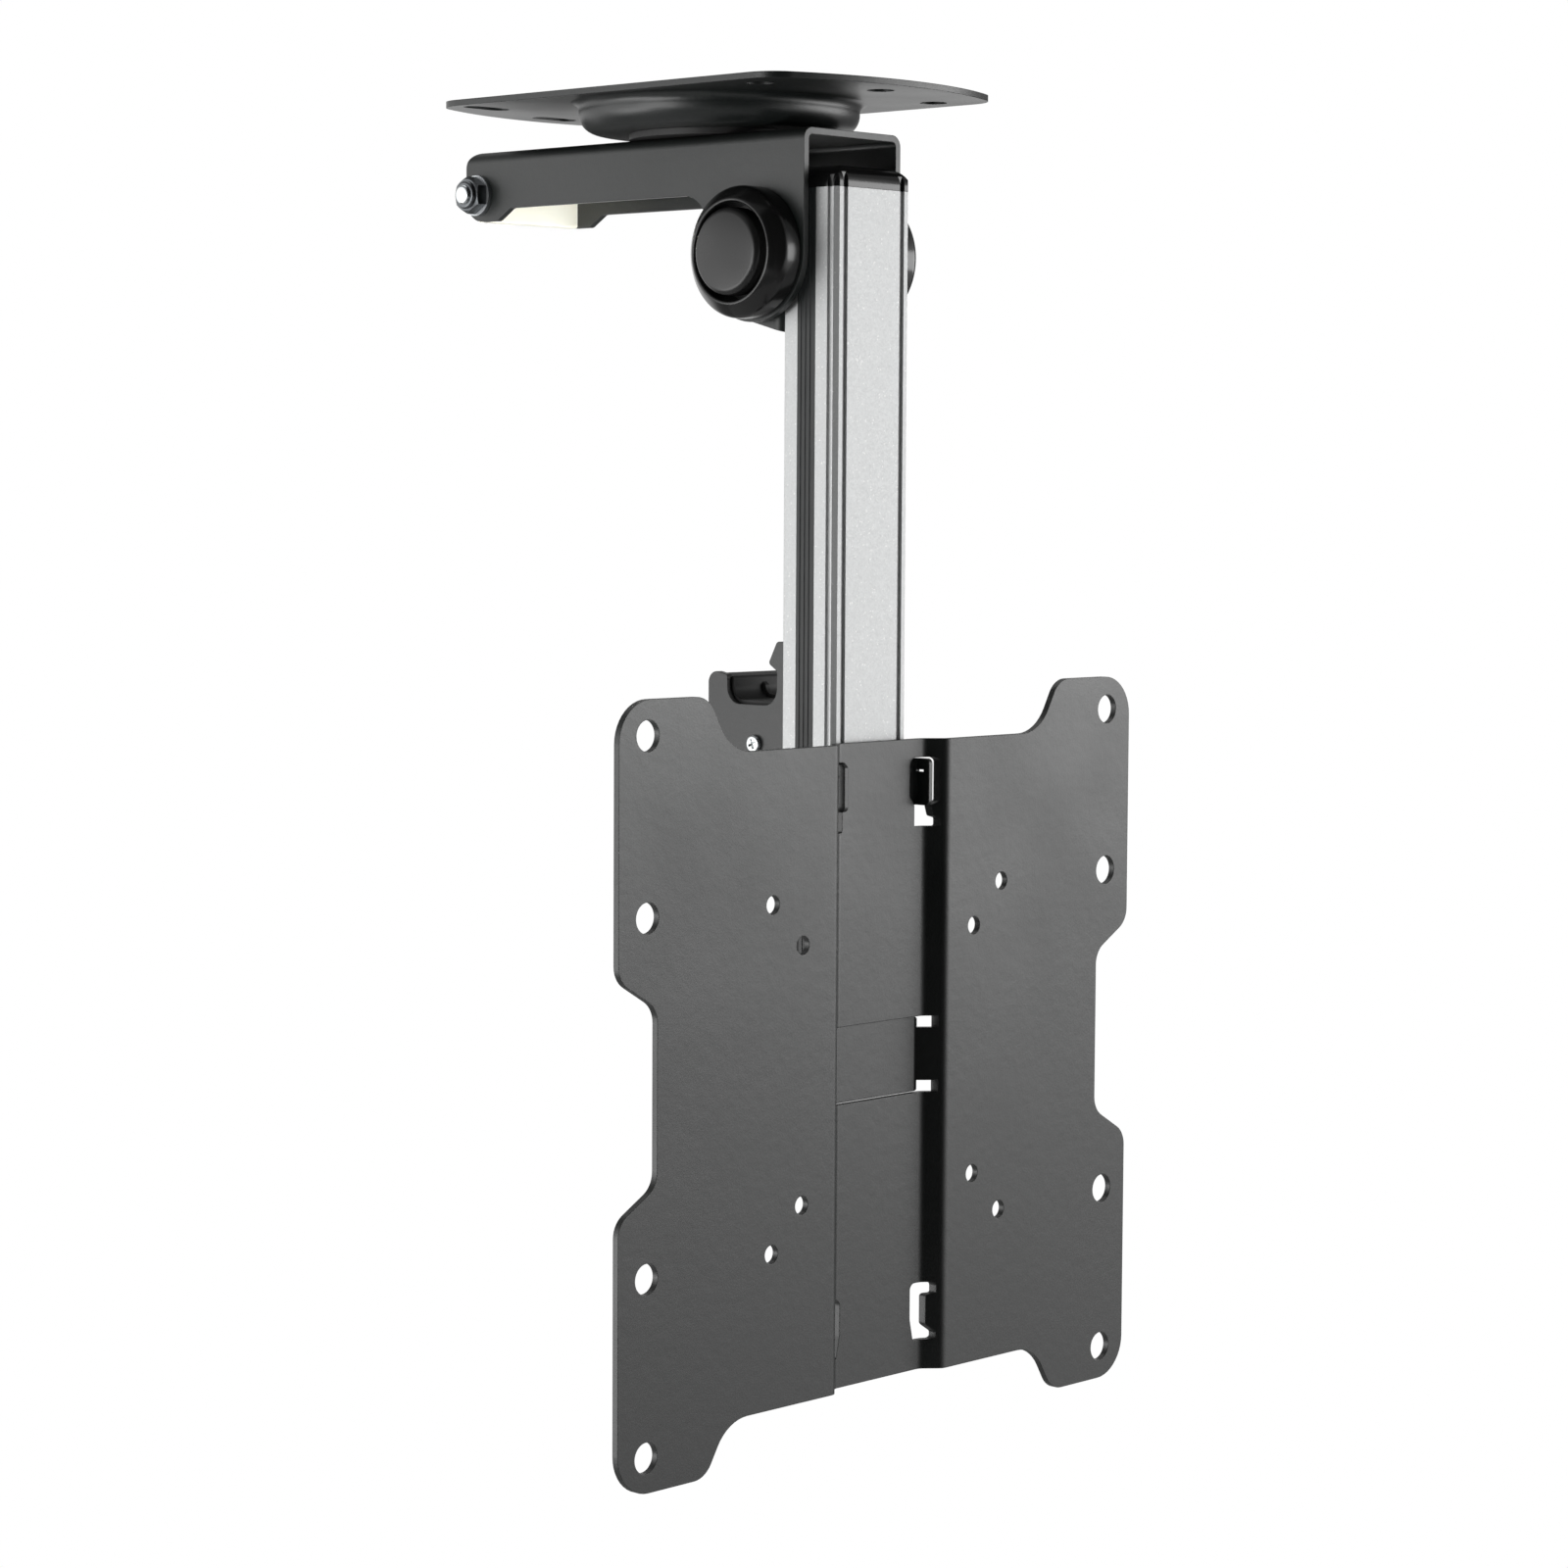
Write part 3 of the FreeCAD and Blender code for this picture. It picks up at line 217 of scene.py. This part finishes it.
# Swivel: a steel bolt through the dish and the arm with a flat washer, a spring washer and a lock
# nut, all barrel plated with zinc and passivated clear, and between dish and arm a disc moulded
# in black nylon that lets the arm turn.
def bright_zinc(name, tone, shine):
    """Zinc from a plating barrel: a bluish silver that mirrors softly, with faint clouds from the
    bath. Its scuffs are under 0.1 mm and are drawn at half a millimetre, so that they show."""
    cloud_mm = 4.0
    scuff_mm = 0.5
    scuff_depth = 0.00003
    mat = bpy.data.materials.new(name)
    mat.use_nodes = True
    tree = mat.node_tree
    tree.nodes.clear()
    spot = add(tree, "TexCoord").outputs["Object"]
    cloud = add(tree, "TexNoise", {"Vector": spot, "Scale": 1000 / cloud_mm, "Detail": 3.0})
    scuff = add(tree, "TexNoise", {"Vector": spot, "Scale": 1000 / scuff_mm, "Detail": 2.0})
    base = add(tree, "Mix", {"Factor": cloud.outputs["Fac"], 6: colour(tone[0]),
                             7: colour(tone[1])}, data_type="RGBA")
    gloss = add(tree, "MapRange", {"Value": cloud.outputs["Fac"], "To Min": shine[0],
                                   "To Max": shine[1]})
    skin = add(tree, "Bump", {"Strength": 0.12, "Distance": scuff_depth,
                              "Height": scuff.outputs["Fac"]})
    metal = add(tree, "BsdfPrincipled", {"Base Color": base.outputs[2], "Metallic": 1.0,
                                         "Roughness": gloss.outputs["Result"],
                                         "Normal": skin.outputs[0]})
    add(tree, "OutputMaterial", {"Surface": metal.outputs[0]})
    return mat


def satin_plastic(name, tone, grain_mm, shine, relief=0.00003):
    """Moulded or extruded plastic: the even fine grain of the tool, and gloss that wanders along
    the flow of the melt. The real grain is about 0.1 mm and is drawn as coarse as it needs to
    show. The relief is how deep the grain stands, in metres."""
    flow_mm = 14
    soft_edge = 0.0004
    mat = bpy.data.materials.new(name)
    mat.use_nodes = True
    tree = mat.node_tree
    tree.nodes.clear()
    spot = add(tree, "TexCoord").outputs["Object"]
    grain = add(tree, "TexNoise", {"Vector": spot, "Scale": 1000 / grain_mm, "Detail": 2.0})
    flow = add(tree, "TexNoise", {"Vector": spot, "Scale": 1000 / flow_mm, "Detail": 1.0})
    base = add(tree, "Mix", {"Factor": flow.outputs["Fac"], 6: colour(tone[0]),
                             7: colour(tone[1])}, data_type="RGBA")
    gloss = add(tree, "MapRange", {"Value": flow.outputs["Fac"], "From Min": 0.3, "From Max": 0.7,
                                   "To Min": shine - 0.03, "To Max": shine + 0.03})
    rounded = add(tree, "Bevel", {"Radius": soft_edge}, samples=4)
    skin = add(tree, "Bump", {"Strength": 0.4, "Distance": relief, "Height": grain.outputs["Fac"],
                              "Normal": rounded.outputs[0]})
    plastic = add(tree, "BsdfPrincipled", {"Base Color": base.outputs[2], "IOR": 1.5,
                                           "Roughness": gloss.outputs["Result"],
                                           "Normal": skin.outputs[0]})
    add(tree, "OutputMaterial", {"Surface": plastic.outputs[0]})
    return mat


zinc = bright_zinc("bright_zinc", ("#c3cad2", "#e2e3df"), (0.16, 0.36))
dress(["swivel_bolt", "swivel_washer", "swivel_spring_washer", "swivel_nut"], zinc)

# Nylon coloured through with black: a low waxy sheen, a little greyer than the other plastics.
black_nylon = satin_plastic("black_nylon", ("#121212", "#171717"), 0.7, 0.5)
dress(["swivel_slip_disc"], black_nylon)

# Arm: 2 mm steel, cut to its outline with the latch ears and the hinge lobes, folded into a
# channel, then powder coated in the same black as the plate, with a fairly matt, pebbled face.
black_coat = powder_coat("black_powder_coat", ("#0a0d0c", "#121514"), shine=0.4)
dress(["arm_channel"], black_coat)

# Latch: an M6 cross bolt of bright zinc through the ears of the arm, with large washers whose
# zinc the tumbling has left dull, a lock nut that is dark with oil, and the pad that the bolt
# carries between the ears. The pad is moulded in natural nylon, a satin cream white.
satin_zinc = bright_zinc("satin_zinc", ("#b4b9be", "#c4c6c6"), (0.42, 0.55))
oiled_zinc = bright_zinc("oiled_zinc", ("#54575a", "#7b7e80"), (0.25, 0.4))
cream_nylon = satin_plastic("cream_nylon", ("#f8f5e2", "#fbf9ec"), 0.8, 0.42)
dress(["latch_bolt"], zinc)
dress(["latch_washer_left", "latch_washer_right"], satin_zinc)
dress(["latch_nut"], oiled_zinc)
dress(["latch_pad"], cream_nylon)

# Hinge: a zinc-plated cross bolt with its nut and spacer tube, two nylon friction washers between
# the arm and the pole's bracket, and over each end of the bolt a round cover with a domed cap
# pressed into its mouth. Covers and caps are moulded in black ABS.
low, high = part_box("hinge_cover_left")
barrel = (high[2] - low[2]) / 2 * 1000
axis_y = (low[1] + high[1]) / 2
axis_z = (low[2] + high[2]) / 2
low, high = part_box("hinge_cap_left")
rim = (high[2] - low[2]) / 2 * 1000
flange_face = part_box("arm_channel")[1][0]
lip_width = 4.8
mouth = barrel - lip_width
foot_height = 2.0
nut_side_deeper = 1.9
ring_sides = 128
merge_gap = 0.000002

# Half sections of cover and cap: radius, and height off the arm's flange, in millimetres. The cap
# ends in a small closed ring, the eye, so that its dome has no pinched middle.
eye = 0.3
cover_section = [
    (mouth, 0.0), (barrel - 0.4, 0.0), (barrel, 0.4), (barrel, 5.2), (barrel - 0.08, 5.9),
    (barrel - 0.3, 6.55), (barrel - 0.65, 7.1), (barrel - 1.1, 7.6), (mouth + 1.9, 9.2),
    (mouth + 1.2, 9.75), (mouth + 0.9, 9.95), (mouth + 0.6, 10.03), (mouth + 0.3, 9.98),
    (mouth + 0.08, 9.8), (mouth, 9.4), (mouth, 0.0)]
cap_section = [
    (eye, 6.0), (rim, 6.0), (rim, 10.14), (rim - 0.07, 10.66), (rim - 0.27, 11.14),
    (rim - 0.59, 11.55), (rim - 1.0, 11.87), (rim - 1.48, 12.06), (rim - 1.8, 12.12),
    (9.0, 12.4), (7.0, 12.63), (5.0, 12.81), (3.0, 12.93), (1.2, 12.99), (eye, 13.0)]


def drawn_round(name, section, side, deeper, plastic):
    """Turned form drawn out ring by ring along the hinge bolt, from the arm's flange outwards. All
    of it above its foot stands further out by what this side is deeper."""
    levels = [reach + (deeper if reach > foot_height else 0.0) for radius, reach in section]
    radius = section[0][0]
    middle = [side * (flange_face + levels[0] / 1000), axis_y, axis_z]
    bpy.ops.mesh.primitive_circle_add(vertices=ring_sides, radius=radius / 1000, location=middle,
                                      rotation=(0, math.pi / 2, 0))
    shell = bpy.context.object
    shell.name = name
    bpy.ops.object.transform_apply(location=True, rotation=True, scale=True)
    bpy.ops.object.mode_set(mode="EDIT")
    bpy.ops.mesh.select_all(action="SELECT")
    for i in range(1, len(section)):
        step = side * (levels[i] - levels[i - 1]) / 1000
        bpy.ops.mesh.extrude_edges_move(TRANSFORM_OT_translate={"value": (step, 0, 0)})
        middle[0] += step
        grow = section[i][0] / radius
        bpy.ops.transform.resize(value=(1, grow, grow), center_override=middle)
        radius = section[i][0]
    bpy.ops.mesh.select_all(action="SELECT")
    bpy.ops.mesh.remove_doubles(threshold=merge_gap)
    bpy.ops.mesh.fill_holes(sides=0)
    bpy.ops.mesh.select_all(action="SELECT")
    bpy.ops.mesh.normals_make_consistent(inside=False)
    bpy.ops.object.mode_set(mode="OBJECT")
    bpy.ops.object.shade_smooth_by_angle(angle=math.radians(40))
    shell.data.materials.append(plastic)
    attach(shell, "arm")
    return shell


# ABS from a polished tool, which mirrors the soft boxes as clear bands on the covers, and ABS from
# a finely spark-eroded one, which spreads them to a satin glow on the caps.
glossy_abs = satin_plastic("glossy_black_abs", ("#090909", "#0d0d0d"), 0.45, 0.17, relief=0.00001)
black_abs = satin_plastic("black_abs", ("#0c0c0c", "#111111"), 0.45, 0.3)
for name, side, deeper in (("left", -1, 0.0), ("right", 1, nut_side_deeper)):
    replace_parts(drawn_round("cover_" + name, cover_section, side, deeper, glossy_abs),
                "hinge_cover_" + name)
    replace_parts(drawn_round("cap_" + name, cap_section, side, deeper, black_abs),
                "hinge_cap_" + name)
dress(["hinge_bolt", "hinge_nut", "hinge_spacer"], zinc)
dress(["hinge_washer_left", "hinge_washer_right"], black_nylon)


# Pole: an aluminium extrusion with grooves beside its face and a channel in each side, blasted
# with fine glass beads, anodised in natural silver and cut to length.
def blasted_aluminium(name):
    """Blasted and anodised aluminium: a soft even grey that scatters the light, and here and there
    a facet given a lighter metal colour as a painted glint. Its grain is about 0.1 mm and is drawn
    coarser, so that it shows."""
    facet_mm = 0.42
    dent_mm = 0.35
    dent_depth = 0.00003
    mat = bpy.data.materials.new(name)
    mat.use_nodes = True
    tree = mat.node_tree
    tree.nodes.clear()
    spot = add(tree, "TexCoord").outputs["Object"]
    facets = add(tree, "TexVoronoi", {"Vector": spot, "Scale": 1000 / facet_mm})
    dents = add(tree, "TexNoise", {"Vector": spot, "Scale": 1000 / dent_mm, "Detail": 2.0})
    split = add(tree, "SeparateColor", {"Color": facets.outputs["Color"]})
    # Painted glints: a few random facets get a lighter metal colour in place of the sparkle of real
    # facets.
    painted_glint = add(tree, "MapRange", {"Value": split.outputs[2], "From Min": 0.975,
                                   "From Max": 0.99})
    grain = add(tree, "Mix", {"Factor": split.outputs[0], 6: colour("#c9caca"),
                              7: colour("#cfd0d0")}, data_type="RGBA")
    base = add(tree, "Mix", {"Factor": painted_glint.outputs["Result"], 6: grain.outputs[2],
                             7: colour("#dededd")}, data_type="RGBA")
    gloss = add(tree, "MapRange", {"Value": split.outputs[1], "To Min": 0.64, "To Max": 0.69})
    skin = add(tree, "Bump", {"Strength": 0.12, "Distance": dent_depth,
                              "Height": dents.outputs["Fac"]})
    metal = add(tree, "BsdfPrincipled", {"Base Color": base.outputs[2], "Metallic": 1.0,
                                         "Roughness": gloss.outputs["Result"],
                                         "Normal": skin.outputs[0]})
    add(tree, "OutputMaterial", {"Surface": metal.outputs[0]})
    return mat


aluminium = blasted_aluminium("blasted_aluminium")
dress(["pole"], aluminium)

# Pole ends: caps that repeat the pole's section and plug into it, moulded in the glossy ABS of
# the covers with soft edges that catch a thin line of light.
dress(["pole_top_cap", "pole_foot_cap"], glossy_abs)

# Trim strips: ribbed extrusions of soft vinyl, slid into the channels of the pole's sides. The
# vinyl is a shade greyer than the hard plastics and nearly matt, so the ribs read by their edges.
black_vinyl = satin_plastic("black_vinyl", ("#151717", "#1b1d1d"), 0.9, 0.46)
dress(["pole_trim_left", "pole_trim_right"], black_vinyl)

# Hinge bracket: a folded steel U with the coat of the arm, held to the back of the pole by four
# zinc-plated pan-head screws with a cross recess. Their sizes are in metres.
dress(["hinge_bracket"], black_coat)
head_radius = 0.0045
head_height = 0.0024
head_sides = 64
crown_round = 0.0014
shank_radius = 0.0024
shank_length = 0.0055
tip_length = 0.0014
tip_share = 0.4
recess_length = 0.0062
recess_width = 0.0015
recess_height = 0.0026
recess_middle = 0.0018
recess_share = 0.4
burr_width = 0.00012
burr_angle = math.radians(35)


def cross_screw(name):
    """Pan-head screw, which stands on the ground plane and points up. Two crossing blades, narrow
    at their foot, cut the recess."""
    bpy.ops.mesh.primitive_cylinder_add(vertices=head_sides, radius=head_radius, depth=head_height,
                                        location=(0, 0, head_height / 2))
    screw = bpy.context.object
    screw.name = name
    bpy.ops.object.transform_apply(location=True)
    crown = [v.index for v in screw.data.vertices if v.co.z > head_height / 2]
    bpy.ops.object.mode_set(mode="EDIT")
    bpy.ops.mesh.select_all(action="DESELECT")
    bpy.ops.object.mode_set(mode="OBJECT")
    for edge in screw.data.edges:
        edge.select = edge.vertices[0] in crown and edge.vertices[1] in crown
    bpy.ops.object.mode_set(mode="EDIT")
    bpy.ops.mesh.select_mode(type="EDGE")
    bpy.ops.mesh.bevel(offset=crown_round, segments=7, profile=0.5)
    bpy.ops.mesh.select_mode(type="FACE")
    bpy.ops.mesh.select_all(action="DESELECT")
    bpy.ops.object.mode_set(mode="OBJECT")
    for face in screw.data.polygons:
        face.select = face.normal.z < -0.9
    bpy.ops.object.mode_set(mode="EDIT")
    bpy.ops.mesh.inset(thickness=head_radius - shank_radius)
    bpy.ops.mesh.extrude_region_move(TRANSFORM_OT_translate={"value": (0, 0, -shank_length)})
    bpy.ops.mesh.extrude_region_move(TRANSFORM_OT_translate={"value": (0, 0, -tip_length)})
    bpy.ops.transform.resize(value=(tip_share, tip_share, 1),
                             center_override=(0, 0, -shank_length - tip_length))
    bpy.ops.object.mode_set(mode="OBJECT")
    for turn in (0.0, math.pi / 2):
        bpy.ops.mesh.primitive_cube_add(size=1.0, location=(0, 0, recess_middle))
        blade = bpy.context.object
        blade.scale = (recess_length, recess_width, recess_height)
        blade.rotation_euler = (0, 0, turn)
        bpy.ops.object.transform_apply(location=True, rotation=True, scale=True)
        for corner in blade.data.vertices:
            if corner.co.z < recess_middle:
                corner.co.x *= recess_share
                corner.co.y *= recess_share
        bpy.ops.object.select_all(action="DESELECT")
        bpy.context.view_layer.objects.active = screw
        screw.select_set(True)
        cut = screw.modifiers.new("recess", "BOOLEAN")
        cut.operation = "DIFFERENCE"
        cut.object = blade
        bpy.ops.object.modifier_apply(modifier=cut.name)
        bpy.data.objects.remove(blade)
    soften = screw.modifiers.new("soften", "BEVEL")
    soften.width = burr_width
    soften.segments = 2
    soften.limit_method = "ANGLE"
    soften.angle_limit = burr_angle
    bpy.ops.object.modifier_apply(modifier=soften.name)
    bpy.ops.object.shade_smooth_by_angle(angle=burr_angle)
    screw.data.materials.append(zinc)
    return screw


def back_seats(node, rows):
    """Seats of a group of screws behind the pole, in rows of two, each with the way it points."""
    low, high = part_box(node)
    x = high[0] - head_radius
    y = high[1] - head_height
    heights = (high[2] - head_radius, low[2] + head_radius)[:rows]
    return [((side * x, y, z), (0, 1, 0)) for z in heights for side in (-1, 1)]


def screw_group(name, node, seats, size, twist):
    """Copies of the screw at their seats, each pointing along its axis, as one piece. Each was
    driven until it was tight, so no two crosses of a group stand the same way."""
    twist_step = 0.9
    copies = []
    for i, (seat, axis) in enumerate(seats):
        copy = master_screw.copy()
        copy.data = master_screw.data.copy()
        bpy.context.collection.objects.link(copy)
        copy.location = seat
        copy.scale = (size, size, size)
        pointed = Vector(axis).to_track_quat("Z", "Y").to_matrix().to_4x4()
        driven = Matrix.Rotation(twist + twist_step * i, 4, "Z")
        copy.rotation_euler = (pointed @ driven).to_euler()
        copies.append(copy)
    bpy.ops.object.select_all(action="DESELECT")
    for copy in copies:
        copy.select_set(True)
    bpy.context.view_layer.objects.active = copies[0]
    bpy.ops.object.join()
    group = bpy.context.object
    group.name = name
    bpy.ops.object.transform_apply(location=True, rotation=True, scale=True)
    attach(group, "drop_pole")
    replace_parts(group, node)


master_screw = cross_screw("master_screw")
bracket_seats = back_seats("hinge_bracket_screws", rows=2)
screw_group("bracket_screws", "hinge_bracket_screws", bracket_seats, size=1.0, twist=0.3)

# Latch bracket and cradle: two stamped steel sides on a back strip, coated as the arm is and held
# lower on the pole by two of the same screws. The block between them, which the latch pad drops
# into, is dead matt ABS from a coarsely eroded tool, with a smaller screw on each side.
dress(["latch_bracket"], black_coat)
matt_abs = satin_plastic("matt_black_abs", ("#080808", "#0b0b0b"), 0.6, 0.58)
dress(["latch_cradle"], matt_abs)
hook_seats = back_seats("latch_bracket_screws", rows=1)
screw_group("hook_screws", "latch_bracket_screws", hook_seats, size=1.0, twist=0.5)
small_screw = 0.6
bracket_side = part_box("latch_bracket")[1][0]
low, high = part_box("latch_cradle_screws")
cradle_y = (low[1] + high[1]) / 2
cradle_z = (low[2] + high[2]) / 2
cradle_seats = [((side * bracket_side, cradle_y, cradle_z), (side, 0, 0)) for side in (-1, 1)]
screw_group("cradle_screws", "latch_cradle_screws", cradle_seats, size=small_screw, twist=0.35)
bpy.data.objects.remove(master_screw)

# Hanger plate: 1.5 mm steel with the coat of the arm, held flat on the front of the pole by two
# countersunk screws of bright zinc. Its two ears are folded forward and carry the screen plate.
dress(["hanger_plate"], black_coat)
dress(["hanger_screws"], zinc)

# Screen plate: 2 mm steel, stamped with its lobes, slots and hole patterns and folded so that
# its middle web lies behind the wings, with the coat of the arm.
dress(["screen_plate"], black_coat)
